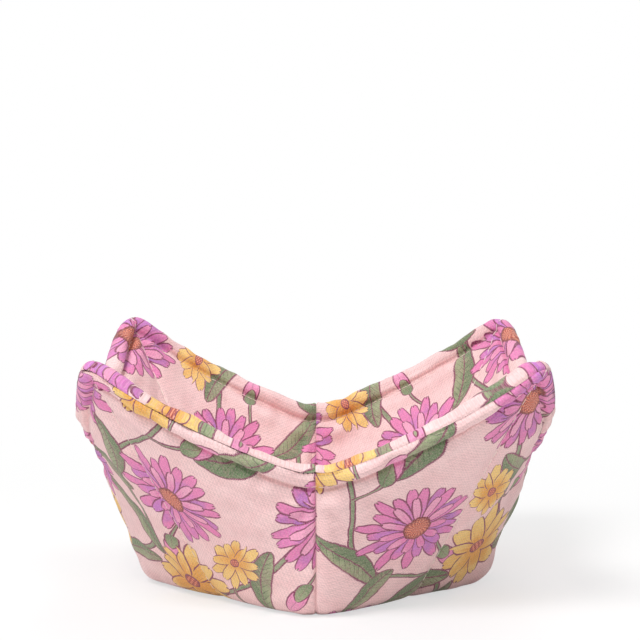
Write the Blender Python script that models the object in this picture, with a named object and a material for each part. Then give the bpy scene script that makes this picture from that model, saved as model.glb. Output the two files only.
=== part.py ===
"""Padded cotton bowl cozy: two squares of quilted cotton, drawn up into a bowl by darts.

Each half is a square of printed cotton on a square of wadding, quilted from corner to corner.
A dart in the middle of every side lifts the square into a bowl with four soft corners. One
half stands inside the other. Their edges are sewn together and turned in, and a row of
stitching all round holds the turned edge in a plump roll.

Metres, +Z up. The cozy stands on its base at z = 0, with a dart on each side along the X and
Y axes, and a corner on each diagonal.
"""

import math

import bmesh
import bpy
from mathutils import Vector

# The cut square and its darts, as they are marked out on the cloth
SQUARE_SIDE = 0.254
SEAM_ALLOWANCE = 0.00635
DART_LENGTH = 0.060
DART_HALF_WIDTH = 0.0254
CORNER_ROUNDING = 0.009

# The bowl that the darts make: how the cloth turns up at a dart, and on the way to a corner
DART_BEND_RADIUS = 0.012
DART_WALL_SLOPE = math.radians(70)
CORNER_BEND_RADIUS = 0.014
CORNER_WALL_SLOPE = math.radians(56)
BASE_BULGE = 0.006
DART_SOFTNESS = 0.25
VALLEY_ROUNDING = 0.006

# The layers of the wall, each clear of the next
COTTON = 0.0006
WADDING = 0.0018
CLEARANCE = 0.0003

# The turned rim, and the dips that stitching pulls into the padding
RIM_ROUNDING = 0.0034
RIM_SWELL = 0.0005
TOPSTITCH_INSET = 0.0070
TOPSTITCH_DIP = 0.0012
TOPSTITCH_REACH = 0.0015
QUILTING_DIP = 0.0009
QUILTING_REACH = 0.0024
DART_DIP = 0.0005
DART_REACH = 0.0016

# How finely the cloth is divided: shares of the way from a dart to a corner, and from the
# middle of the base to its edge, and steps up the bend, the wall and the rim
WAY_TO_CORNER = (0, 0.05, 0.16, 0.42, 0.70, 0.90, 0.96, 1)
WAY_TO_BASE_EDGE = (0.12, 0.55, 1)
BEND_STEPS = 2
WALL_STEPS = 2
RIM_STEPS = 3
WEDGES = 8

# What follows from the sizes above
HALF_SIDE = SQUARE_SIDE / 2 - SEAM_ALLOWANCE
DART_POINT = SQUARE_SIDE / 2 - DART_LENGTH
DART_SPREAD = DART_HALF_WIDTH / DART_LENGTH
CORNER_FOLD = DART_POINT / math.sqrt(2) + BASE_BULGE
HALF_WALL = COTTON + CLEARANCE + WADDING + CLEARANCE / 2
TURNED_EDGE = HALF_SIDE - SEAM_ALLOWANCE
GROOVE = HALF_SIDE - TOPSTITCH_INSET
WALL_END = GROOVE - 2 * TOPSTITCH_REACH
RIM_START = HALF_SIDE - RIM_ROUNDING
EIGHTH_TURN = math.pi / 4


def blend(start, end, share):
    return start + share * (end - start)


def between(start, end, steps):
    """Evenly spaced values after start, up to and with end."""
    return [blend(start, end, i / steps) for i in range(1, steps + 1)]


def share_of_corner(turn):
    """How far the wall has gone over from its line at a dart, 0, to its line at a corner, 1."""
    rounded = math.hypot(math.sin(2 * turn), DART_SOFTNESS) - DART_SOFTNESS
    return rounded / (math.hypot(1, DART_SOFTNESS) - DART_SOFTNESS)


def bend(turn):
    """The bend from base to wall in one direction: where it starts, its radius and its slope."""
    share = share_of_corner(turn)
    radius = blend(DART_BEND_RADIUS, CORNER_BEND_RADIUS, share)
    slope = blend(DART_WALL_SLOPE, CORNER_WALL_SLOPE, share)
    fold = blend(DART_POINT, CORNER_FOLD, share)
    return fold - radius * math.tan(slope / 2), radius, slope


def bowl(along, turn):
    """The outer face of the bowl: flat, then bent upwards, then straight.

    along is the distance along the cloth from the middle of the base, and turn the direction.
    """
    start, radius, slope = bend(turn)
    turned = min(max(along - start, 0) / radius, slope)
    straight = max(along - start - radius * slope, 0)
    out = min(along, start) + radius * math.sin(turned) + straight * math.cos(slope)
    up = radius * (1 - math.cos(turned)) + straight * math.sin(slope)
    return Vector((out * math.cos(turn), out * math.sin(turn), up))


def inwards(along, turn):
    """The direction from the outer face straight into the padding."""
    if along == 0:
        return Vector((0, 0, 1))
    step = 0.0002
    uphill = bowl(along + step, turn) - bowl(max(along - step, 0), turn)
    sideways = bowl(along, turn + step / along) - bowl(along, turn - step / along)
    return uphill.cross(sideways).normalized()


def cloth_point(half_side, share):
    """A point of one eighth of the flat square, on the outline half_side from the middle.

    share is the way along that outline, from the dart's edge to the diagonal. The outlines
    nearest the rim turn the corner on a radius.
    """
    edge = max(half_side - DART_POINT, 0) * DART_SPREAD
    radius = max(CORNER_ROUNDING - (HALF_SIDE - half_side), 0)
    straight = half_side - radius - edge
    gone = share * (straight + radius * EIGHTH_TURN)
    if gone <= straight or radius == 0:
        return half_side, edge + gone
    angle = (gone - straight) / radius
    centre = half_side - radius
    return centre + radius * math.cos(angle), centre + radius * math.sin(angle)


def edge_place(half_side, share):
    """Where a point of that outline comes to lie on the sewn bowl: its along and its turn.

    The outlines meet in a V at a dart, which easing the cloth rounds off.
    """
    x, y = cloth_point(half_side, share)
    reach = math.hypot(x, y)
    square = 1 + DART_SPREAD**2
    root = math.sqrt(DART_POINT**2 - square * (DART_POINT**2 - reach**2))
    past_point = (root - DART_POINT) / square
    dart_angle = math.atan2(DART_SPREAD * past_point, DART_POINT + past_point)
    turn = EIGHTH_TURN * (math.atan2(y, x) - dart_angle) / (EIGHTH_TURN - dart_angle)
    along_dart = DART_POINT + past_point * math.sqrt(square)
    rounded = DART_SPREAD * (math.hypot(reach * turn, VALLEY_ROUNDING) - reach * turn)
    return blend(along_dart, reach, share_of_corner(turn)) + rounded, turn


def wall_place(way, share):
    """A place below the rim: way 0 is the middle, 1 the base's edge, 2 the bend's end, 3 the top."""
    top, turn = edge_place(WALL_END, share)
    start, radius, slope = bend(turn)
    stops = (0, start, start + radius * slope, top)
    lower = min(int(way), 2)
    return blend(stops[lower], stops[lower + 1], way - lower), turn


def wall_ways():
    return list(WAY_TO_BASE_EDGE) + between(1, 2, BEND_STEPS) + between(2, 3, WALL_STEPS)


def dip(depth, distance, reach):
    """How far a row of stitching pulls the padding in, that far from it."""
    return depth * math.exp(-((distance / reach) ** 2))


def half_thickness(place, topstitch=0, swell=0):
    """Half the wall's thickness: thinner at each row of stitching, fuller in the rim's roll."""
    along, turn = place
    dart = dip(DART_DIP, along * turn, DART_REACH) if along > DART_POINT else 0
    quilting = dip(QUILTING_DIP, along * (EIGHTH_TURN - turn), QUILTING_REACH)
    return HALF_WALL + swell - max(topstitch, dart, quilting)


def face_steps(depth):
    """A section's steps up the wall's shown face, that deep under it: to the rim's roll."""
    steps = []
    for way in wall_ways():
        steps.append((
            lambda share, way=way: wall_place(way, share),
            lambda place: half_thickness(place) - depth,
        ))
    steps.append((
        lambda share: edge_place(GROOVE, share),
        lambda place: half_thickness(place, topstitch=TOPSTITCH_DIP) - depth,
    ))
    return steps + [rim_step(0, depth)]


def rim_step(way, depth):
    """A section's step round the rim: way runs from the shown face to the wall's middle."""
    angle = way * math.pi / 2
    half_side = RIM_START + (RIM_ROUNDING - depth) * math.sin(angle)

    def offset(place):
        full = half_thickness(place, swell=RIM_SWELL) - depth
        return blend(CLEARANCE / 2 + depth, full, math.cos(angle))

    return lambda share: edge_place(half_side, share), offset


def edge_step(half_side, depth):
    """A section's step at the turned edge, that deep beside the middle of the wall."""
    return lambda share: edge_place(half_side, share), lambda place: CLEARANCE / 2 + depth


def cotton_section():
    """The cotton's section: up its shown face, over the rim, in between the halves and back."""
    ways = between(0, 1, RIM_STEPS)
    section = face_steps(0) + [rim_step(way, 0) for way in ways]
    section += [edge_step(TURNED_EDGE, 0), edge_step(TURNED_EDGE, COTTON)]
    section += [rim_step(way, COTTON) for way in reversed(ways)]
    return section + face_steps(COTTON)[::-1]


def wadding_section():
    """The wadding's section: behind the cotton, over its turned edge, and down the middle."""
    behind = COTTON + CLEARANCE
    end = TURNED_EDGE - CLEARANCE
    section = face_steps(behind) + [rim_step(way, behind) for way in between(0, 1, RIM_STEPS)]
    section += [edge_step(end, behind), edge_step(end, 0)]
    for way in reversed(wall_ways()):
        section.append((
            lambda share, way=way: wall_place(way, share),
            lambda place: CLEARANCE / 2,
        ))
    return section


def places_round():
    """Each wedge and share in turn, once round the bowl, starting at the dart on +X."""
    places = []
    for wedge in range(WEDGES):
        shares = WAY_TO_CORNER[:-1] if wedge % 2 == 0 else WAY_TO_CORNER[:0:-1]
        places += [(wedge, share) for share in shares]
    return places


def wall_point(place, wedge, offset):
    """A point in one eighth of the bowl's wall, that far inside the middle of the wall."""
    along, turn = place
    quarter = 2 * EIGHTH_TURN * ((wedge + 1) // 2)
    turn = quarter + turn if wedge % 2 == 0 else quarter - turn
    return bowl(along, turn) + (HALF_WALL + offset) * inwards(along, turn)


def material(name, colour, roughness):
    made = bpy.data.materials.new(name)
    made.use_nodes = True
    shader = made.node_tree.nodes["Principled BSDF"]
    shader.inputs["Base Color"].default_value = (*colour, 1)
    shader.inputs["Roughness"].default_value = roughness
    shader.inputs["Metallic"].default_value = 0
    return made


def build_layer(name, section, side, finish):
    """One layer: its section carried once round the bowl and closed at the middle of the base.

    side is -1 in the outer half and 1 in the inner half. Every layer is split into triangles
    the same way, so that each stays clear of the next.
    """
    mesh = bmesh.new()
    around = places_round()
    count = len(around)
    rings = []
    for place_at, offset_at in section:
        ring = []
        for wedge, share in around:
            place = place_at(share)
            ring.append(mesh.verts.new(wall_point(place, wedge, side * offset_at(place))))
        rings.append(ring)
    for step in range(len(section) - 1):
        lower, upper = rings[step], rings[step + 1]
        rising = section[step + 1][0](1) > section[step][0](1)
        for i, (wedge, _) in enumerate(around):
            j = (i + 1) % count
            if rising == (wedge % 2 == 0):
                mesh.faces.new((lower[i], lower[j], upper[j]))
                mesh.faces.new((lower[i], upper[j], upper[i]))
            else:
                mesh.faces.new((lower[i], lower[j], upper[i]))
                mesh.faces.new((lower[j], upper[j], upper[i]))
    for ring, (_, offset_at) in ((rings[0], section[0]), (rings[-1], section[-1])):
        middle = (0, EIGHTH_TURN)
        centre = mesh.verts.new(wall_point(middle, 0, side * offset_at(middle)))
        for i in range(count):
            mesh.faces.new((centre, ring[i], ring[(i + 1) % count]))
    bmesh.ops.recalc_face_normals(mesh, faces=mesh.faces)
    data = bpy.data.meshes.new(name)
    mesh.to_mesh(data)
    mesh.free()
    data.materials.append(finish)
    data.shade_smooth()
    made = bpy.data.objects.new(name, data)
    bpy.context.scene.collection.objects.link(made)


def clear_scene():
    for old in list(bpy.data.objects):
        bpy.data.objects.remove(old)


def main():
    clear_scene()
    printed_cotton = material("printed cotton", (0.91, 0.62, 0.61), 0.85)
    cotton_wadding = material("cotton wadding", (0.90, 0.88, 0.82), 0.95)
    build_layer("outer_cover", cotton_section(), -1, printed_cotton)
    build_layer("outer_batting", wadding_section(), -1, cotton_wadding)
    build_layer("inner_batting", wadding_section(), 1, cotton_wadding)
    build_layer("lining", cotton_section(), 1, printed_cotton)


main()
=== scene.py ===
import math

import bpy
import numpy as np
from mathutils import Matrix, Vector, noise


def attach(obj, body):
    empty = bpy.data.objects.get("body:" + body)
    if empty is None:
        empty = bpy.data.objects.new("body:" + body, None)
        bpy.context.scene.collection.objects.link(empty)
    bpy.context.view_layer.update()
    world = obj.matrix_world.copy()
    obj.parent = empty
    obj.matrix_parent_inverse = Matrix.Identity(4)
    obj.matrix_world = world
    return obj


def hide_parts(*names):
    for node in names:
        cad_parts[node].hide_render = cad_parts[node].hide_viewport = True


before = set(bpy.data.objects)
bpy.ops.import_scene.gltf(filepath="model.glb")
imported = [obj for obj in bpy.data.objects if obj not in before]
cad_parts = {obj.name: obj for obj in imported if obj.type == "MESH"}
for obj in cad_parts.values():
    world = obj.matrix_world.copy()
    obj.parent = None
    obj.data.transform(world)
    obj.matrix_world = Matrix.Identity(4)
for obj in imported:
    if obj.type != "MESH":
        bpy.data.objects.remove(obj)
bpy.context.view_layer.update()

# OUTER COVER
# The outside of the cozy: a square of printed cotton, stitched from corner to corner on to its
# wadding. A dart in the middle of each side draws it up into a bowl with four soft corners.
# Its edge is turned in at the rim and sewn to the lining's.
HALF_SIDE = 0.12065
DART_POINT = 0.067
DART_SPREAD = 0.0254 / 0.060
CORNER_ROUNDING = 0.009
VALLEY_ROUNDING = 0.006
DART_SOFTNESS = 0.25
DART_BEND = (0.067, 0.012, math.radians(70))
CORNER_BEND = (0.067 / math.sqrt(2) + 0.006, 0.014, math.radians(56))
HALF_WALL = 0.00285
GROOVE = HALF_SIDE - 0.0075
WALL_END = GROOVE - 0.0030
RIM_ROUNDING = 0.0034
RIM_START = HALF_SIDE - RIM_ROUNDING
SEAM_SHIFT = 0.0027
ROLL_SWELL = 0.0011
COTTON = 0.0005
EIGHTH_TURN = math.pi / 4
STEPS_TO_CORNER = 68


def smooth(value, start, end):
    share = np.clip((value - start) / (end - start), 0, 1)
    return share * share * (3 - 2 * share)


def share_of_corner(turn):
    """How far the wall has gone over from its line at a dart, 0, to its line at a corner, 1."""
    rounded = np.hypot(np.sin(2 * turn), DART_SOFTNESS) - DART_SOFTNESS
    return rounded / (math.hypot(1, DART_SOFTNESS) - DART_SOFTNESS)


def bend(turn):
    """The bend from base to wall: where it starts, its radius and its slope."""
    share = share_of_corner(turn)
    fold, radius, slope = (a + share * (b - a) for a, b in zip(DART_BEND, CORNER_BEND))
    return fold - radius * np.tan(slope / 2), radius, slope


def bowl(along, turn):
    """A point of the bowl's plain outer face, that far along the cloth from the base's middle."""
    start, radius, slope = bend(turn)
    turned = np.clip((along - start) / radius, 0, slope)
    straight = np.maximum(along - start - radius * slope, 0)
    out = np.minimum(along, start) + radius * np.sin(turned) + straight * np.cos(slope)
    up = radius * (1 - np.cos(turned)) + straight * np.sin(slope)
    return np.stack((out * np.cos(turn), out * np.sin(turn), up), axis=-1)


def inwards(along, turn):
    """The direction from the outer face straight into the padding."""
    step = 0.0002
    reach = np.maximum(along, 10 * step)
    uphill = bowl(reach + step, turn) - bowl(reach - step, turn)
    sideways = bowl(reach, turn + step / reach) - bowl(reach, turn - step / reach)
    across = np.cross(uphill, sideways)
    return across / np.linalg.norm(across, axis=-1, keepdims=True)


def outline(half_side, share):
    """Part of an outline of the flat square, from the dart's edge to the diagonal."""
    edge = np.maximum(half_side - DART_POINT, 0) * DART_SPREAD
    radius = np.maximum(CORNER_ROUNDING - (HALF_SIDE - half_side), 0)
    straight = half_side - radius - edge
    gone = share * (straight + radius * EIGHTH_TURN)
    angle = np.maximum(gone - straight, 0) / np.maximum(radius, 1e-9)
    x = half_side - radius * (1 - np.cos(angle))
    y = edge + np.minimum(gone, straight) + radius * np.sin(angle)
    return x, y


def dart_angle(reach):
    """The direction in which the dart's edge lies on the flat cloth, that far from the middle."""
    square = 1 + DART_SPREAD**2
    room = np.maximum(DART_POINT**2 - square * (DART_POINT**2 - reach**2), DART_POINT**2)
    past_point = (np.sqrt(room) - DART_POINT) / square
    return np.arctan2(DART_SPREAD * past_point, DART_POINT + past_point), past_point


def sewn_edge(half_side, share):
    """Where that outline comes to lie once the darts are sewn: along, turn and the flat place."""
    x, y = outline(half_side, share)
    reach = np.hypot(x, y)
    closed, past_point = dart_angle(reach)
    turn = EIGHTH_TURN * (np.arctan2(y, x) - closed) / (EIGHTH_TURN - closed)
    along_dart = DART_POINT + past_point * math.sqrt(1 + DART_SPREAD**2)
    rounded = DART_SPREAD * (np.hypot(reach * turn, VALLEY_ROUNDING) - reach * turn)
    corner = share_of_corner(turn)
    return along_dart + corner * (reach - along_dart) + rounded, turn, x, y


def sewn_wall(way, share):
    """A place below the rim: way 0 is the middle, 1 the base's edge, 2 the bend's end, 3 the top."""
    top, turn, x, y = sewn_edge(WALL_END, share)
    start, radius, slope = bend(turn)
    stops = [0 * top, start, start + radius * slope, top]
    lower = min(int(way), 2)
    along = stops[lower] + (way - lower) * (stops[lower + 1] - stops[lower])
    reach = np.hypot(x, y) * along / top
    closed, _ = dart_angle(reach)
    angle = closed + turn * (EIGHTH_TURN - closed) / EIGHTH_TURN
    return along, turn, reach * np.cos(angle), reach * np.sin(angle)


def wander(points, size, seed):
    """Soft random waves of about that size, from -1 to 1."""
    shifted = points / size + seed
    return np.array([noise.noise(p) for p in shifted.reshape(-1, 3)]).reshape(points.shape[:-1])


def wedge_turn(wedge, turn):
    """The direction round the bowl, from that turn away from the wedge's own dart."""
    quarter = 2 * EIGHTH_TURN * ((wedge + 1) // 2)
    return quarter + turn if wedge % 2 == 0 else quarter - turn


def trough(distance, depth, reach):
    """A soft dip along a line, or a ridge where depth is under 0."""
    return depth * np.exp(-((distance / reach) ** 2))


# Sizes of what sewing and handling do, in metres: (height, length of a wave) or (depth, reach)
FOLDS = ((0.0021, 0.034), (0.0014, 0.016), (0.00055, 0.0078))
RIM_PUCKERS = ((0.00115, 0.0050), (0.00070, 0.017))
DART_PUCKERS = (0.00030, 0.0062)
QUILT_PUCKERS = (0.00024, 0.0052)
RIM_DIP = ((0.0020, 0.00075), (0.0005, 0.0024))
QUILT_DIP = ((0.00055, 0.0008), (0.0005, 0.0035))
DART_DIP = ((0.00120, 0.00050), (0.0004, 0.003))
PLUMP = ((0.00085, 0.014), (0.00065, 0.0055))
PADDING_LIFT = 0.0007
SLACK = 0.00080
PULLS = 0.00085
LEAST_HALF_WALL = 0.0007
CALM_BASE = {-1: 0.0, 1: 0.45}


def relief(wedge, along, turn, x, side, seed):
    """How far sewing and handling lift the cloth off the plain wall or pull it in."""
    place = bowl(along, wedge_turn(wedge, turn))
    row = HALF_SIDE - x - (HALF_SIDE - GROOVE)
    at_groove, groove_turn, _, _ = sewn_edge(GROOVE, SHARES)
    rim_line = bowl(at_groove, wedge_turn(wedge, groove_turn))
    on_wall = smooth(along, 0.050, 0.074)
    dart = along * turn
    quilt = along * (EIGHTH_TURN - turn)
    beyond_point = smooth(along, DART_POINT - 0.012, DART_POINT + 0.004)
    # the padding is full between the rows of stitching, and the roll stands proud of the wall
    lift = PADDING_LIFT * on_wall * smooth(row, 0.001, 0.013) * smooth(quilt, 0, 0.012)
    lift = lift + ROLL_SWELL * smooth(-row, 0.0000, 0.0022)
    # the stitching and the dart seams sink in
    sunk = sum(trough(row, *size) for size in RIM_DIP)
    quilted = sum(trough(quilt, *size) for size in QUILT_DIP)
    seamed = sum(trough(dart, *size) for size in DART_DIP) * beyond_point
    held = np.maximum(np.maximum(sunk, quilted), seamed)
    # cloth puckers across a row of stitching
    across_rim = rim_line + 0.45 * (place - rim_line)
    rim_waves, slow_waves = (
        wander(across_rim, size, seed + shift) for (_, size), shift in zip(RIM_PUCKERS, (0, 3))
    )
    pucker = RIM_PUCKERS[0][0] * rim_waves + RIM_PUCKERS[1][0] * slow_waves
    pucker = pucker * trough(row, 1, np.where(row > 0, 0.0075, 0.0048))
    up_dart = np.stack((along, 0 * along + 0.01 * wedge, 0 * along), axis=-1)
    height, size = DART_PUCKERS
    dart_waves = height * wander(up_dart, size, seed + 5) * beyond_point
    pucker = pucker + dart_waves * trough(dart, 1, 0.007) * smooth(dart, 0, 0.0015)
    height, size = QUILT_PUCKERS
    quilt_waves = height * wander(up_dart, size, seed + 9)
    pucker = pucker + quilt_waves * trough(quilt, 1, 0.0055) * smooth(quilt, 0, 0.0012)
    # soft folds from handling, slack under the rim, and pulls that spread from the dart's top
    folds = sum(
        height * wander(place, size, seed + shift)
        for (height, size), shift in zip(FOLDS, (13, 17, 19))
    )
    slack = trough(row - 0.0055, 1, 0.0020) - trough(row - 0.0105, 0.8, 0.0026)
    folds = folds + SLACK * slack * (0.75 + 0.9 * slow_waves)
    spread = np.arctan2(dart, np.maximum(row, 0.0005))
    pulls = PULLS * np.cos(9 * spread + 2 * seed) * trough(np.hypot(dart, row) - 0.015, 1, 0.011)
    folds = folds + pulls * smooth(row, 0.002, 0.008) * smooth(dart, 0.001, 0.006)
    folds = folds * smooth(np.abs(row), 0, 0.004) * smooth(quilt, 0, 0.006)
    folds = folds * (1 - beyond_point * (1 - smooth(dart, 0, 0.005)))
    # the cover's base is pressed flat by what stands in it, and the lining's is only calmer
    calm = CALM_BASE[side]
    free = calm + (1 - calm) * smooth(along, 0.048, 0.070)
    return np.maximum(lift - held + (pucker + folds) * free, LEAST_HALF_WALL - HALF_WALL)


# How finely the cloth is divided: closer beside a seam, in the bend and at the rim
NEAR_DART = [0, 0.0045, 0.0100, 0.0180]
NEAR_QUILTING = [1 - share for share in NEAR_DART[::-1]]
SHARES = np.array([*NEAR_DART, *np.linspace(0.03, 0.97, STEPS_TO_CORNER - 7), *NEAR_QUILTING])
WALL_ROWS = [*np.linspace(0.06, 1, 15), *np.linspace(1, 2, 13)[1:], *np.linspace(2, 3, 35)[1:]]
RIM_ROWS = [*np.linspace(WALL_END, GROOVE, 9)[1:], *np.linspace(GROOVE, RIM_START, 10)[1:-1]]


def roll_end(side):
    """How far round the roll each cotton goes: the seam lies a little to the outside."""
    shift = math.acos(SEAM_SHIFT / (HALF_WALL + ROLL_SWELL))
    return shift if side < 0 else math.pi - shift


def layer_row(wedge, row, side, depth, seed):
    """One row of a layer across one wedge: its points, and their places on the flat cloth.

    row is ("wall", way), ("rim", half_side), ("roll", angle) or ("turned", half_side). side is
    -1 outside and 1 inside. depth is how far under the shown face it lies, and None is the
    middle of the wall.
    """
    kind, value = row
    middle = depth is None
    depth = depth or 0
    seam = side * (0.00001 + depth) - SEAM_SHIFT
    if kind == "wall":
        along, turn, x, y = sewn_wall(value, SHARES)
        offset = side * (HALF_WALL - depth + relief(wedge, along, turn, x, side, seed))
    elif kind == "rim":
        along, turn, x, y = sewn_edge(value, SHARES)
        offset = side * (HALF_WALL - depth + relief(wedge, along, turn, x, side, seed))
    elif kind == "roll":
        end = roll_end(side)
        along, turn, x, y = sewn_edge(RIM_START, SHARES)
        full = HALF_WALL - depth + relief(wedge, along, turn, x, side, seed)
        place = bowl(along, wedge_turn(wedge, turn))
        plump = sum(height * wander(place, size, seed) for height, size in PLUMP)
        full = full + plump * math.sin(value)
        notch = trough((value - end) * RIM_ROUNDING, 0.00055, 0.00065)
        ditch = trough(along * turn, 0.0009, 0.0006) * math.sin(value) ** 2
        half_side = RIM_START + (RIM_ROUNDING + plump - depth - notch - ditch) * math.sin(value)
        along, turn, x, y = sewn_edge(half_side, SHARES)
        meets = seam - side * full * math.cos(end)
        offset = side * full * math.cos(value) + meets * (value / end) ** 3
    else:
        along, turn, x, y = sewn_edge(value, SHARES)
        offset = seam + 0 * along
    if middle:
        offset = side * 0.00015 + 0 * along
    wall = bowl(along, wedge_turn(wedge, turn))
    points = wall + ((HALF_WALL + offset)[:, None]) * inwards(along, wedge_turn(wedge, turn))
    quarter = wedge_turn(wedge, 0)
    mirrored = y if wedge % 2 == 0 else -y
    flat = np.stack((
        x * math.cos(quarter) - mirrored * math.sin(quarter),
        x * math.sin(quarter) + mirrored * math.cos(quarter),
    ), axis=-1)
    return points, flat


def cloth_rows(side):
    """The shown face's rows up to the seam, the turned edge, and the hidden face back down."""
    steps = 13 if side < 0 else 21
    rolls = list(np.linspace(0, roll_end(side), steps))
    shown = [("wall", w) for w in WALL_ROWS] + [("rim", h) for h in RIM_ROWS]
    shown += [("roll", a) for a in rolls]
    hidden = shown[1::3]
    top = RIM_START + 0.0024
    rows = [(row, 0) for row in shown] + [(("turned", top), 0), (("turned", RIM_START - 0.0015), 0)]
    rows += [(("turned", RIM_START - 0.0015), COTTON), (("turned", top - COTTON), COTTON)]
    return rows + [(row, COTTON) for row in hidden[::-1]]


def build_layer(name, rows, side, seed):
    """A closed body from those rows, each carried once round the bowl, with the flat cloth as UV."""
    count = 8 * STEPS_TO_CORNER
    points, flats = [], []
    for row, depth in rows:
        ring, flat_ring = [], []
        for wedge in range(8):
            place, flat = layer_row(wedge, row, side, depth, seed)
            if wedge % 2:
                place, flat = place[::-1], flat[::-1]
            ring.append(place[:-1])
            flat_ring.append(flat)
        points.append(np.concatenate(ring))
        flats.append(np.stack(flat_ring))
    points = np.stack(points)
    points[..., 2] = np.maximum(points[..., 2], 0)
    flats = np.stack(flats)
    last = len(rows) - 1
    vertices = np.concatenate((points.reshape(-1, 3), [points[0].mean(0)], [points[last].mean(0)]))
    first_middle = len(rows) * count
    faces, corners = [], []
    for step in range(last):
        for i in range(count):
            j = (i + 1) % count
            wedge, k = divmod(i, STEPS_TO_CORNER)
            low, high = flats[step, wedge], flats[step + 1, wedge]
            below, above = step * count, (step + 1) * count
            faces.append((below + i, below + j, above + j, above + i))
            corners += [low[k], low[k + 1], high[k + 1], high[k]]
    for ring, middle in ((0, first_middle), (last, first_middle + 1)):
        for i in range(count):
            j = (i + 1) % count
            wedge, k = divmod(i, STEPS_TO_CORNER)
            a, b = (j, i) if ring == 0 else (i, j)
            m, n = (k + 1, k) if ring == 0 else (k, k + 1)
            faces.append((ring * count + a, ring * count + b, middle))
            corners += [flats[ring, wedge][m], flats[ring, wedge][n], np.zeros(2)]
    if side > 0:
        faces = [face[::-1] for face in faces]
        turned, start = [], 0
        for face in faces:
            turned += corners[start : start + len(face)][::-1]
            start += len(face)
        corners = turned
    mesh = bpy.data.meshes.new(name)
    mesh.from_pydata(vertices.tolist(), [], faces)
    layer = mesh.uv_layers.new(name="flat cloth")
    layer.data.foreach_set("uv", np.array(corners, dtype=np.float32).ravel())
    mesh.shade_smooth()
    mesh.update()
    made = bpy.data.objects.new(name, mesh)
    bpy.context.scene.collection.objects.link(made)
    return made


class Dye:
    """A value or colour that changes over the cloth: a shader socket that sums can be done on."""

    def __init__(self, tree, socket=None):
        self.tree = tree
        self.socket = socket

    def node(self, kind, *values, output=0, **settings):
        """A node of that kind: its settings are made first, then the values of its sockets."""
        made = self.tree.nodes.new(kind)
        for name, setting in settings.items():
            setattr(made, name, setting)
        for slot, value in zip([s for s in made.inputs if s.enabled], values):
            if isinstance(value, Dye):
                self.tree.links.new(value.socket, slot)
            elif value is not None:
                slot.default_value = value
        return Dye(self.tree, [s for s in made.outputs if s.enabled][output])

    def math(self, operation, *values):
        return self.node("ShaderNodeMath", self, *values, operation=operation)

    def __add__(self, other):
        return self.math("ADD", other)

    def __sub__(self, other):
        return self.math("SUBTRACT", other)

    def __rsub__(self, other):
        return self.node("ShaderNodeMath", other, self, operation="SUBTRACT")

    def __mul__(self, other):
        return self.math("MULTIPLY", other)

    def __truediv__(self, other):
        return self.math("DIVIDE", other)

    def __pow__(self, other):
        return self.math("POWER", other)

    def __lt__(self, other):
        return self.math("LESS_THAN", other)

    def __gt__(self, other):
        return self.math("GREATER_THAN", other)

    def __mod__(self, other):
        return self.math("FLOORED_MODULO", other)

    def __abs__(self):
        return self.math("ABSOLUTE")

    __radd__ = __add__
    __rmul__ = __mul__

    def ease(self, start, end, low=0.0, high=1.0):
        """Goes smoothly from low to high while this value goes from start to end."""
        return self.node(
            "ShaderNodeMapRange", self, start, end, low, high, interpolation_type="SMOOTHSTEP"
        )

    def choose(self, other, share):
        """This value, or the other one where share is 1."""
        return self.node("ShaderNodeMix", share, self, other, data_type="FLOAT")

    def over(self, colour, share):
        """This colour with another laid over it, as far as share says."""
        colour = colour if isinstance(colour, Dye) else (*colour, 1)
        return self.node("ShaderNodeMix", share, self, colour, data_type="RGBA")

    def tint(self, first, second):
        """A colour between two, by this value."""
        first = first if isinstance(first, Dye) else (*first, 1)
        second = second if isinstance(second, Dye) else (*second, 1)
        return self.node("ShaderNodeMix", self, first, second, data_type="RGBA")


def seen(code):
    """A colour as the eye sees it, such as F7D2D2, as the linear one that a shader takes."""
    parts = [int(code[i : i + 2], 16) / 255 for i in (0, 2, 4)]
    return tuple(c / 12.92 if c <= 0.04045 else ((c + 0.055) / 1.055) ** 2.4 for c in parts)


# The print repeats every 118 mm. A motif's numbers are its place across and up the repeat, in
# millimetres, its turn in degrees, its size, and how far it is seen from the side.
REPEAT = 118.0
DAISIES = ((22, 26, 20, 0.90, 1.0), (80, 50, 205, 0.96, 1.25), (36, 88, 110, 0.84, 1.12))
BLOSSOMS = ((54, 4, 10, 1.0, 1.1), (100, 92, 50, 1.1, 1.0), (113, 62, 95, 0.8, 1.3))
LEAVES = (
    (50, 47, 62, 1.0, 1.0), (97, 15, 155, 1.1, 1.0), (9, 62, 250, 1.0, 1.0),
    (67, 84, 15, 1.15, 1.0), (75, 110, 300, 0.9, 1.0), (12, 106, 160, 1.0, 1.0),
    (116, 115, 215, 0.8, 1.0), (51, 66, 340, 0.8, 1.0),
)
BUDS = (
    (78, 20, 330, 1.0, 1.0), (8, 84, 30, 0.85, 1.0), (86, 76, 75, 1.0, 1.0), (24, 56, 100, 0.9, 1.0),
)
YARN_PITCH = 0.92
GROUND, GROUND_SHADE = seen("F9D6D5"), seen("F4CBCB")
OUTLINE = seen("7F2B56")
ORCHID, PINK, ROSE, LILAC = seen("C97ACB"), seen("EB83BB"), seen("F4A9C9"), seen("B06FC0")
RUST, PEACH, BRICK = seen("AB4639"), seen("F09A78"), seen("7E2E2F")
AMBER, STRAW, OCHRE = seen("EBA93F"), seen("F8D27C"), seen("CF7C35")
LEAF, SAGE, STEM = seen("67875C"), seen("9CAA80"), seen("8F9E7C")
DUSK, MOSS = seen("8A7468"), seen("45593F")


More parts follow.
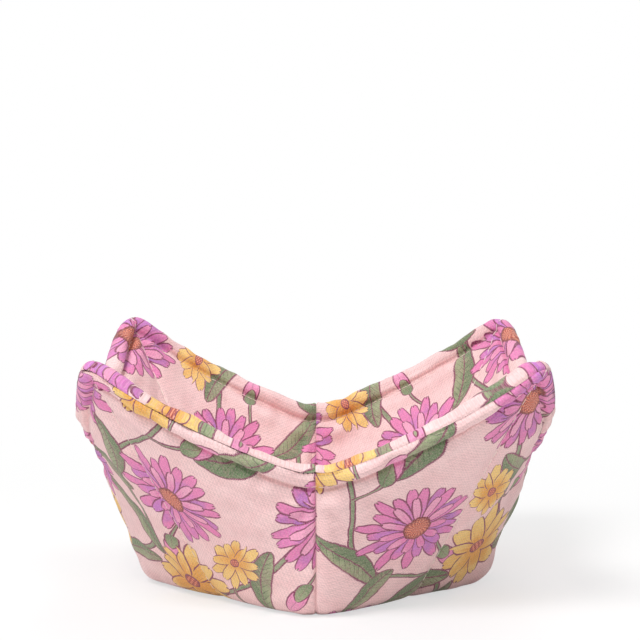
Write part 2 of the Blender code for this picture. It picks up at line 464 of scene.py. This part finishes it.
def nearest(across, up, places, slim=1.0):
    """The place on the nearest motif of one kind, in that motif's own turned and sized axes.

    slim is how many times longer than wide the motif is.
    """
    best = None
    for x, y, turn, size, aside in places:
        dx = (across - (x - REPEAT / 2)) % REPEAT - REPEAT / 2
        dy = (up - (y - REPEAT / 2)) % REPEAT - REPEAT / 2
        cos, sin = math.cos(math.radians(turn)) / size, math.sin(math.radians(turn)) / size
        own_x = dx * cos + dy * sin
        own_y = (dy * cos - dx * sin) * aside
        distance = own_x * own_x + own_y * own_y * slim**2
        if best is None:
            best = own_x, own_y, distance
        else:
            closer = distance < best[2]
            best = (
                best[0].choose(own_x, closer),
                best[1].choose(own_y, closer),
                best[2].math("MINIMUM", distance),
            )
    return best[0], best[1]


def pen(distance, width):
    """A drawn line where the distance is near 0: 1 on it and 0 off it."""
    return 1 - abs(distance).ease(width * 0.3, width * 0.8)


def filled(distance):
    """1 inside a shape, where the distance to its edge is under 0."""
    return 1 - distance.ease(-0.12, 0.12)


def within(value):
    """The value, kept from 0 to 1."""
    return value.math("MAXIMUM", 0.0).math("MINIMUM", 1.0)


def petals(x, y, foot, tip, count, width, turn, seed):
    """One ring of petals: outside one, way up it, side of it, its own number and half width."""
    angle = (y.math("ARCTAN2", x) + turn) * (count / math.tau)
    number = angle.math("ROUND")
    own = (number * 12.9898 + seed).math("SINE")
    reach = (x * x + y * y).math("SQRT")
    way = (reach - foot) / (own * (0.11 * tip) + (tip - foot))
    side = (angle - number + own * 0.10) * (math.tau / count) * reach
    up = within(way)
    notch = (1 - abs(side) * 1.6).math("MAXIMUM", 0.0) * up.ease(0.8, 1.0, 0.0, 0.10)
    half = (up**0.62) * ((1 - up - notch).math("MAXIMUM", 0.0) ** 0.42) * (width * 1.5)
    return abs(side) - half, up, side, own, half, (way > 0.01) * (way < 0.995)


def draw(colour, shape, edge, on, line):
    """The colour so far with a filled and outlined shape laid over it."""
    return colour.over(shape, filled(edge) * on).over(OUTLINE, pen(edge, line) * on)


def stalk(colour, off_middle, on, line):
    colour = colour.over(STEM, filled(abs(off_middle) - 0.6) * on)
    return colour.over(OUTLINE, pen(abs(off_middle) - 0.7, line) * on)


def stems(colour, across, up, blot, line):
    """Long curves that run up the cloth."""
    for start, swing, phase in ((10, 13, 0.4), (66, 11, 2.6)):
        climb = up * (math.tau / REPEAT)
        sway = (climb + phase).math("SINE") * swing + (climb * 2 + 2 * phase).math("SINE") * 4
        off = (across - sway - (start - REPEAT / 2)) % REPEAT - REPEAT / 2
        stem = (off * 0.5 + blot).ease(0.1, 1.1).tint(STEM, LEAF)
        colour = colour.over(stem, filled(abs(off) - 1.0))
        colour = colour.over(OUTLINE, pen(abs(off) - 1.1, line))
    return colour


def leaves(colour, across, up, blot, grain, line):
    """Toothed leaves, darker on one side of the rib, each on its own short stalk."""
    x, y = nearest(across, up, LEAVES, slim=2.6)
    rib = y - x * x * 0.012 + 1.2
    way = (x + 17) / 34
    body = within(way)
    tooth = (x * 1.55 + abs(y) * 0.8) % 1.0
    edge = abs(rib) - (body**0.8) * ((1 - body) ** 0.6) * 13.5 + tooth * 0.45
    side_rib = ((x - abs(rib) * 0.9) * 1.25).math("SINE")
    shade = (rib * 0.30 + side_rib * 0.22 + blot * 1.3).ease(-0.2, 1.5)
    leaf = shade.tint(LEAF, SAGE).over(DUSK, (blot + grain).ease(1.0, 1.7, 0.0, 0.65))
    leaf = leaf.over(MOSS, pen(side_rib, 0.42) * abs(rib).ease(5.5, 1.0, 0.0, 0.8))
    leaf = leaf.over(OUTLINE, pen(rib, line) * 0.85)
    colour = stalk(colour, rib, (x > -27) * (x < -16), line)
    on = (way > 0) * (way < 1)
    return colour.over(leaf, filled(edge) * on).over(OUTLINE, pen(edge, line * 1.1) * on)


def buds(colour, across, up, grain, line):
    """Closed pink buds in a green cup, on a stalk."""
    x, y = nearest(across, up, BUDS, slim=2.0)
    colour = stalk(colour, y + x * x * 0.02, (x > -15) * (x < 0), line)
    for start, long, wide, first, second in ((-1, 14, 8.6, PINK, ROSE), (-3, 8.5, 7.6, LEAF, SAGE)):
        way = (x - start) / long
        body = within(way)
        edge = abs(y) - (body**0.5) * ((1 - body) ** 0.75) * wide
        folds = ((y / (edge * -1 + 3.0)) * 5.0).math("SINE")
        bud = (body + grain * 0.4 - 0.2).tint(first, second).over(OUTLINE, pen(folds, 0.22) * 0.5)
        colour = draw(colour, bud, edge, (way > 0) * (way < 1), line)
    return colour


def blossoms(colour, across, up, blot, line):
    """Yellow blossoms, with two rings of broad petals round a dotted middle."""
    x, y = nearest(across, up, BLOSSOMS)
    for turn, long, wide in ((0.55, 18.0, 5.0), (0.0, 15.5, 4.6)):
        edge, way, side, own, half, on = petals(x, y, 0.0, long, 6, wide, turn, 3.1)
        vein = pen(((side / (half + 0.4)) * 7.0).math("SINE"), 0.45) * way.ease(0.1, 0.8, 0.75, 0.0)
        petal = (way + blot * 0.5 - 0.3 + own * 0.2).ease(0.1, 0.9).tint(AMBER, STRAW)
        colour = draw(colour, petal.over(OCHRE, vein), edge, on, line)
    reach = (x * x + y * y).math("SQRT")
    dots = ((x * 3.0).math("SINE") * (y * 3.0).math("SINE")).ease(-0.1, 0.4)
    colour = colour.over(dots.tint(RUST, PEACH), filled(reach - 2.9))
    return colour.over(OUTLINE, pen(reach - 3.0, line))


def daisies(colour, across, up, blot, grain, line):
    """Daisies in pink and orchid: three rings of slim petals round a hatched rust middle."""
    x, y = nearest(across, up, DAISIES)
    for turn, long, wide, first, second in (
        (0.28, 25.0, 3.7, LILAC, PINK), (0.0, 23.0, 3.5, ORCHID, PINK), (0.14, 17.0, 2.8, PINK, ROSE),
    ):
        edge, way, side, own, half, on = petals(x, y, 4.0, long, 11, wide, turn, 1.7 + long)
        vein = pen(((side / (half + 0.3)) * 4.4).math("SINE"), 0.30) * way.ease(0.0, 0.9, 0.7, 0.0)
        petal = (way * 0.9 + own * 0.35 + blot * 0.7 - 0.35).ease(0.0, 1.0).tint(first, second)
        colour = draw(colour, petal.over(OUTLINE, vein), edge, on, line)
    reach = (x * x + y * y).math("SQRT")
    round_it = y.math("ARCTAN2", x)
    hatch = (round_it * 17 + reach * 2.2).math("SINE") * (reach * 3.6).math("SINE")
    middle = hatch.ease(-0.25, 0.5).tint(RUST, PEACH)
    middle = middle.over(BRICK, (reach * 0.16 - grain * 0.3).ease(0.5, 1.0))
    rim = reach - 6.6 + grain * 0.6
    return colour.over(middle, filled(rim)).over(BRICK, pen(rim, line * 1.2))


def drawn_print(across, up, blot, grain, line):
    """The printed flowers at a place on the cloth, in millimetres, from the back to the front."""
    colour = stems(blot.tint(GROUND, GROUND_SHADE), across, up, blot, line)
    colour = leaves(colour, across, up, blot, grain, line)
    colour = buds(colour, across, up, grain, line)
    colour = blossoms(colour, across, up, blot, line)
    return daisies(colour, across, up, blot, grain, line)


def printed_cotton(name, shift_across, shift_up):
    """Plain woven cotton with the print on its face, which starts that far into the repeat."""
    made = bpy.data.materials.new(name)
    made.use_nodes = True
    tree = made.node_tree
    shader = tree.nodes["Principled BSDF"]
    start = Dye(tree)
    flat = start.node("ShaderNodeUVMap", uv_map="flat cloth")
    where = start.node("ShaderNodeSeparateXYZ", flat)
    across = where * 1000.0
    up = Dye(tree, where.socket.node.outputs["Y"]) * 1000.0
    blots = start.node("ShaderNodeTexNoise", flat, 90.0, 3.0, 0.6, output=1)
    blot = start.node("ShaderNodeSeparateColor", blots)
    sway = Dye(tree, blot.socket.node.outputs["Green"])
    grain = start.node("ShaderNodeTexNoise", flat, 900.0, 3.0, 0.7)
    blot = blot.ease(0.3, 0.7)
    line = (sway - 0.5) * 1.0 + 0.55
    drawn = drawn_print(
        across + (sway - 0.5) * 1.8 + shift_across, up + (blot - 0.5) * 0.9 + shift_up,
        blot, grain.ease(0.3, 0.7), line,
    )
    # the weave: two sets of yarns, each over and under the other, some yarns thicker
    pitch = math.tau / YARN_PITCH
    warp = (across * pitch).math("SINE")
    weft = (up * pitch).math("SINE")
    turn = (across * (pitch / 2)).math("SINE") * (up * (pitch / 2)).math("SINE")
    weave = (turn > 0) * (warp * 0.4 + 0.5) + (turn < 0) * (weft * 0.5 + 0.6)
    long_yarns = start.node("ShaderNodeCombineXYZ", across * 0.16, up * 1.5, 0.0)
    slub = start.node("ShaderNodeTexNoise", long_yarns, 1.0, 2.0, 0.6)
    cross_yarns = start.node("ShaderNodeCombineXYZ", across * 1.6, up * 0.14, 3.0)
    slub_across = start.node("ShaderNodeTexNoise", cross_yarns, 1.0, 2.0, 0.6)
    yarns = slub.ease(0.25, 0.75) * 0.6 + slub_across.ease(0.25, 0.75) * 0.4
    # ink sits on top of the yarns, so the pale cotton shows a little between them
    speck = start.node("ShaderNodeTexNoise", flat, 1900.0, 2.0, 0.6).ease(0.35, 0.68)
    bare = (1 - weave).ease(0.35, 1.0, 0.02, 0.16) + speck * speck * 0.20
    drawn = drawn.over(GROUND, bare)
    # The colour is multiplied by the weave: darker in the hollows between yarns, a painted shade, a
    # little lighter on their crowns, a painted highlight, and varied along slubby yarns and by random
    # specks.
    pale = (yarns * 0.42 + weave * 0.38 + speck * 0.20).ease(0.1, 0.9, 0.80, 1.06)
    weave_shaded_print = start.node("ShaderNodeVectorMath", drawn, pale, operation="MULTIPLY")
    tree.links.new(weave_shaded_print.socket, shader.inputs["Base Color"])
    rough = grain.ease(0.2, 0.8, 0.82, 0.94)
    tree.links.new(rough.socket, shader.inputs["Roughness"])
    height = weave * 0.00009 + yarns * 0.00008 + blot * 0.00006
    bump = start.node("ShaderNodeBump", 1.0, 1.0, None, height)
    tree.links.new(bump.socket, shader.inputs["Normal"])
    shader.inputs["Sheen Weight"].default_value = 0.12
    shader.inputs["Sheen Roughness"].default_value = 0.5
    shader.inputs["Specular IOR Level"].default_value = 0.25
    return made


outer_cover = build_layer("outer_cover_cloth", cloth_rows(-1), -1, 11.3)
outer_cover.data.materials.append(printed_cotton("blush print cotton, outside", 31.0, 12.0))
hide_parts("outer_cover")
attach(outer_cover, "root")

# LINING
# The inside of the bowl: a second square of the same cotton with the same darts. Its edge
# rolls a little over the top of the rim, where it meets the cover's in the seam.
lining = build_layer("lining_cloth", cloth_rows(1), 1, 57.9)
lining.data.materials.append(printed_cotton("blush print cotton, inside", 77.0, 63.0))
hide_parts("lining")
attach(lining, "root")

# WADDING
# A square of soft cotton wadding behind each cotton, with the same darts. It fills the wall,
# and its edge is caught under the row of stitching below the rim.
WADDING_BEHIND = COTTON + 0.00035
WADDING_TOP = GROOVE - 0.0018


def wadding_rows():
    wall = [("wall", way) for way in WALL_ROWS[::2]] + [("rim", WADDING_TOP)]
    return [(row, WADDING_BEHIND) for row in wall] + [(row, None) for row in wall[::-1]]


def wadding_finish():
    made = bpy.data.materials.new("cotton wadding")
    made.use_nodes = True
    tree = made.node_tree
    shader = tree.nodes["Principled BSDF"]
    start = Dye(tree)
    place = start.node("ShaderNodeTexCoord", output=3)
    fibre = start.node("ShaderNodeTexNoise", place, 900.0, 5.0, 0.7)
    colour = fibre.ease(0.3, 0.7).tint(seen("E9E3D6"), seen("F7F3EA"))
    tree.links.new(colour.socket, shader.inputs["Base Color"])
    bump = start.node("ShaderNodeBump", 1.0, 0.0004, None, fibre)
    tree.links.new(bump.socket, shader.inputs["Normal"])
    shader.inputs["Roughness"].default_value = 0.95
    return made


wadding = wadding_finish()
for name, node, side, seed in (
    ("outer_wadding", "outer_batting", -1, 11.3), ("inner_wadding", "inner_batting", 1, 57.9),
):
    pad = build_layer(name, wadding_rows(), side, seed)
    pad.data.materials.append(wadding)
    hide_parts(node)
    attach(pad, "root")

# TOPSTITCHING
# One run of pale cotton thread right round, 7 mm under the edge and through every layer. It
# holds the turned edges in the roll of the rim, and shows as small stitches on both faces.
TOPSTITCH = {"Pitch": 0.0029, "Stitch Length": 0.0026, "Thread Radius": 0.00021}


def stitch_tree():
    """Geometry nodes that lay stitches, end to end, along the lines of a mesh."""
    tree = bpy.data.node_groups.new("run of stitches", "GeometryNodeTree")
    tree.interface.new_socket("Lines", in_out="INPUT", socket_type="NodeSocketGeometry")
    for name in ("Pitch", "Stitch Length", "Thread Radius"):
        tree.interface.new_socket(name, in_out="INPUT", socket_type="NodeSocketFloat")
    tree.interface.new_socket("Thread", in_out="INPUT", socket_type="NodeSocketMaterial")
    tree.interface.new_socket("Stitches", in_out="OUTPUT", socket_type="NodeSocketGeometry")

    def node(kind, values=(), **settings):
        made = tree.nodes.new(kind)
        for name, setting in settings.items():
            setattr(made, name, setting)
        for name, value in values:
            slot = next(s for s in made.inputs if s.name == name and s.enabled)
            if isinstance(value, bpy.types.NodeSocket):
                tree.links.new(value, slot)
            else:
                slot.default_value = value
        return [s for s in made.outputs if s.enabled]

    lines, pitch, length, radius, thread = tree.nodes.new("NodeGroupInput").outputs[:5]
    curve = node("GeometryNodeMeshToCurve", [("Mesh", lines)])[0]
    points, tangent = node(
        "GeometryNodeCurveToPoints", [("Curve", curve), ("Length", pitch)], mode="LENGTH"
    )[:2]
    bead = node("GeometryNodeMeshUVSphere", [("Segments", 8), ("Rings", 8), ("Radius", 1.0)])[0]
    place = node("GeometryNodeInputPosition")[0]
    bead = node(
        "GeometryNodeStoreNamedAttribute", [("Geometry", bead), ("Name", "twine"), ("Value", place)],
        data_type="FLOAT_VECTOR",
    )[0]
    half = node("ShaderNodeMath", [("Value", length)], operation="MULTIPLY")[0]
    half.node.inputs[1].default_value = 0.5
    size = node("ShaderNodeCombineXYZ", [("X", radius), ("Y", radius), ("Z", half)])[0]
    stitch = node("GeometryNodeTransform", [("Geometry", bead), ("Scale", size)])[0]
    lie = node("FunctionNodeAlignRotationToVector", [("Vector", tangent)], axis="Z")[0]
    sway = node(
        "FunctionNodeRandomValue", [("Min", (-0.05, -0.05, 0)), ("Max", (0.05, 0.05, 6)), ("Seed", 4)],
        data_type="FLOAT_VECTOR",
    )[0]
    turned = node(
        "FunctionNodeRotateRotation", [("Rotation", lie), ("Rotate By", sway)], rotation_space="LOCAL"
    )[0]
    laid = node(
        "GeometryNodeInstanceOnPoints", [("Points", points), ("Instance", stitch), ("Rotation", turned)]
    )[0]
    real = node("GeometryNodeRealizeInstances", [("Geometry", laid)])[0]
    soft = node("GeometryNodeSetShadeSmooth", [("Geometry", real)])[0]
    done = node("GeometryNodeSetMaterial", [("Geometry", soft), ("Material", thread)])[0]
    tree.links.new(done, tree.nodes.new("NodeGroupOutput").inputs[0])
    return tree


def thread_finish(name, painted_ply_shade, light):
    """Two-ply cotton thread, whose plies wind round each other, with painted shade in the grooves
    between them.
    """
    made = bpy.data.materials.new(name)
    made.use_nodes = True
    tree = made.node_tree
    shader = tree.nodes["Principled BSDF"]
    start = Dye(tree)
    twine = start.node("ShaderNodeAttribute", attribute_name="twine", output=1)
    across = start.node("ShaderNodeSeparateXYZ", twine)
    up = Dye(tree, across.socket.node.outputs["Y"])
    along = Dye(tree, across.socket.node.outputs["Z"])
    ply = (up.math("ARCTAN2", across) * 2 + along * 14.0).math("SINE") * 0.5 + 0.5
    # the groove between the plies is painted darker, a painted shade, and the bump gives the same plies
    # their relief
    colour = ply.tint(painted_ply_shade, light)
    tree.links.new(colour.socket, shader.inputs["Base Color"])
    bump = start.node("ShaderNodeBump", 0.6, 0.00005, None, ply)
    tree.links.new(bump.socket, shader.inputs["Normal"])
    shader.inputs["Roughness"].default_value = 0.7
    return made


def sew(name, lines, sizes, thread):
    """Stitches along those lines, each a list of points and whether it closes on itself."""
    vertices, edges = [], []
    for points, closed in lines:
        first, count = len(vertices), len(points)
        vertices += [tuple(p) for p in points]
        edges += [(first + i, first + (i + 1) % count) for i in range(count if closed else count - 1)]
    guide = bpy.data.meshes.new(name + " guide")
    guide.from_pydata(vertices, edges, [])
    held = bpy.data.objects.new(name + " guide", guide)
    bpy.context.scene.collection.objects.link(held)
    modifier = held.modifiers.new("stitches", "NODES")
    modifier.node_group = stitching
    values = {**sizes, "Thread": thread}
    for item in stitching.interface.items_tree:
        if item.in_out == "INPUT" and item.name in values:
            modifier[item.identifier] = values[item.name]
    mesh = bpy.data.meshes.new_from_object(held.evaluated_get(bpy.context.evaluated_depsgraph_get()))
    bpy.data.objects.remove(held)
    mesh.name = name
    made = bpy.data.objects.new(name, mesh)
    bpy.context.scene.collection.objects.link(made)
    return made


def face_points(cloth, lift=0.00006):
    """The cloth's rows of points, lifted off its face by a little of the thread's thickness."""
    count = 8 * STEPS_TO_CORNER
    rows = len(cloth.data.vertices) // count
    place, normal = (np.empty(3 * len(cloth.data.vertices), dtype=np.float32) for _ in range(2))
    cloth.data.vertices.foreach_get("co", place)
    cloth.data.vertices.foreach_get("normal", normal)
    lifted = (place + lift * normal).reshape(-1, 3)
    return lifted[: rows * count].reshape(rows, count, 3)


stitching = stitch_tree()
GROOVE_ROW = len(WALL_ROWS) + RIM_ROWS.index(GROOVE)
topstitching = sew(
    "topstitching",
    [(face_points(cloth)[GROOVE_ROW], True) for cloth in (outer_cover, lining)],
    TOPSTITCH, thread_finish("blush topstitching thread", seen("E3BDB8"), seen("FBE7E1")),
)
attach(topstitching, "root")

# QUILTING
# Pale thread from corner to corner both ways, sewn through each cotton and its wadding before
# the halves are joined. It shows as a straight row of longer stitches up each corner.
QUILTING = {"Pitch": 0.0041, "Stitch Length": 0.0034, "Thread Radius": 0.00018}
SHOWN_ROWS = len(WALL_ROWS) + len(RIM_ROWS) + 6


def corner_lines(cloth):
    points = face_points(cloth)
    corners = [points[:SHOWN_ROWS, (2 * corner + 1) * STEPS_TO_CORNER] for corner in range(4)]
    return [(np.concatenate((corners[i][::-1], corners[i + 2])), False) for i in range(2)]


for name, cloth in (("outer_quilting", outer_cover), ("inner_quilting", lining)):
    quilting = sew(
        name, corner_lines(cloth), QUILTING,
        thread_finish(name.replace("_", " ") + " thread", seen("E9D8CB"), seen("FCF3EA")),
    )
    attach(quilting, "root")

# CAMERA, LIGHT AND FLOOR
# A plain pale studio: a long lens a little above the rim, soft light from above and in front.
def looked_at(tree):
    """1 for what the camera sees, straight or in a mirror or glass, and 0 for light on the cloth."""
    ray = tree.nodes.new("ShaderNodeLightPath")
    straight, mirrored, through = (
        Dye(tree, ray.outputs[f"Is {kind} Ray"]) for kind in ("Camera", "Glossy", "Transmission")
    )
    return straight.math("MAXIMUM", mirrored).math("MAXIMUM", through)


floor_mesh = bpy.data.meshes.new("floor")
floor_mesh.from_pydata([(-3, -3, 0), (3, -3, 0), (3, 3, 0), (-3, 3, 0)], [], [(0, 1, 2, 3)])
floor = bpy.data.objects.new("floor", floor_mesh)
bpy.context.scene.collection.objects.link(floor)
floor.location.z = -0.0001
paper = bpy.data.materials.new("white paper")
paper.use_nodes = True
tree = paper.node_tree
shader = tree.nodes["Principled BSDF"]
shader.inputs["Base Color"].default_value = (0.90, 0.895, 0.89, 1)
shader.inputs["Roughness"].default_value = 0.9
start = Dye(tree)
place = start.node("ShaderNodeTexCoord", output=3)
away = start.node("ShaderNodeVectorMath", place, operation="LENGTH", output=0)
glow = start.node("ShaderNodeEmission", (1, 1, 1, 1), 1.0)
bare = Dye(tree, shader.outputs[0])
fade = away.ease(0.10, 0.40, 0.62, 1.0) * looked_at(tree)
mixed = start.node("ShaderNodeMixShader", fade, bare, glow)
tree.links.new(mixed.socket, tree.nodes["Material Output"].inputs[0])
floor_mesh.materials.append(paper)

world = bpy.data.worlds.new("studio")
bpy.context.scene.world = world
world.use_nodes = True
tree = world.node_tree
level = looked_at(tree).ease(0.0, 1.0, 0.43, 1.0)
background = tree.nodes["Background"]
background.inputs["Color"].default_value = (1, 1, 1, 1)
tree.links.new(level.socket, background.inputs["Strength"])


def soft_box(name, place, size, power):
    light = bpy.data.lights.new(name, "AREA")
    light.shape = "RECTANGLE"
    light.size, light.size_y = size
    light.energy = power
    box = bpy.data.objects.new(name, light)
    box.location = place
    box.rotation_euler = (Vector((0, 0, 0.05)) - Vector(place)).to_track_quat("-Z", "Y").to_euler()
    bpy.context.scene.collection.objects.link(box)


soft_box("key soft box", (-0.45, -0.75, 1.15), (0.50, 0.50), 15.2)
soft_box("top soft box", (0.25, 0.35, 1.2), (0.6, 0.6), 3.5)

camera = bpy.data.objects.new("camera", bpy.data.cameras.new("camera"))
camera.location = (0.0016, -0.8889, 0.1908)
camera.rotation_euler = (math.radians(90 - 5.55), 0, 0)
camera.data.sensor_width = 36
camera.data.lens = 2255 / 640 * 36
camera.data.clip_start = 0.01
bpy.context.scene.collection.objects.link(camera)
bpy.context.scene.camera = camera
bpy.context.scene.view_settings.view_transform = "Standard"
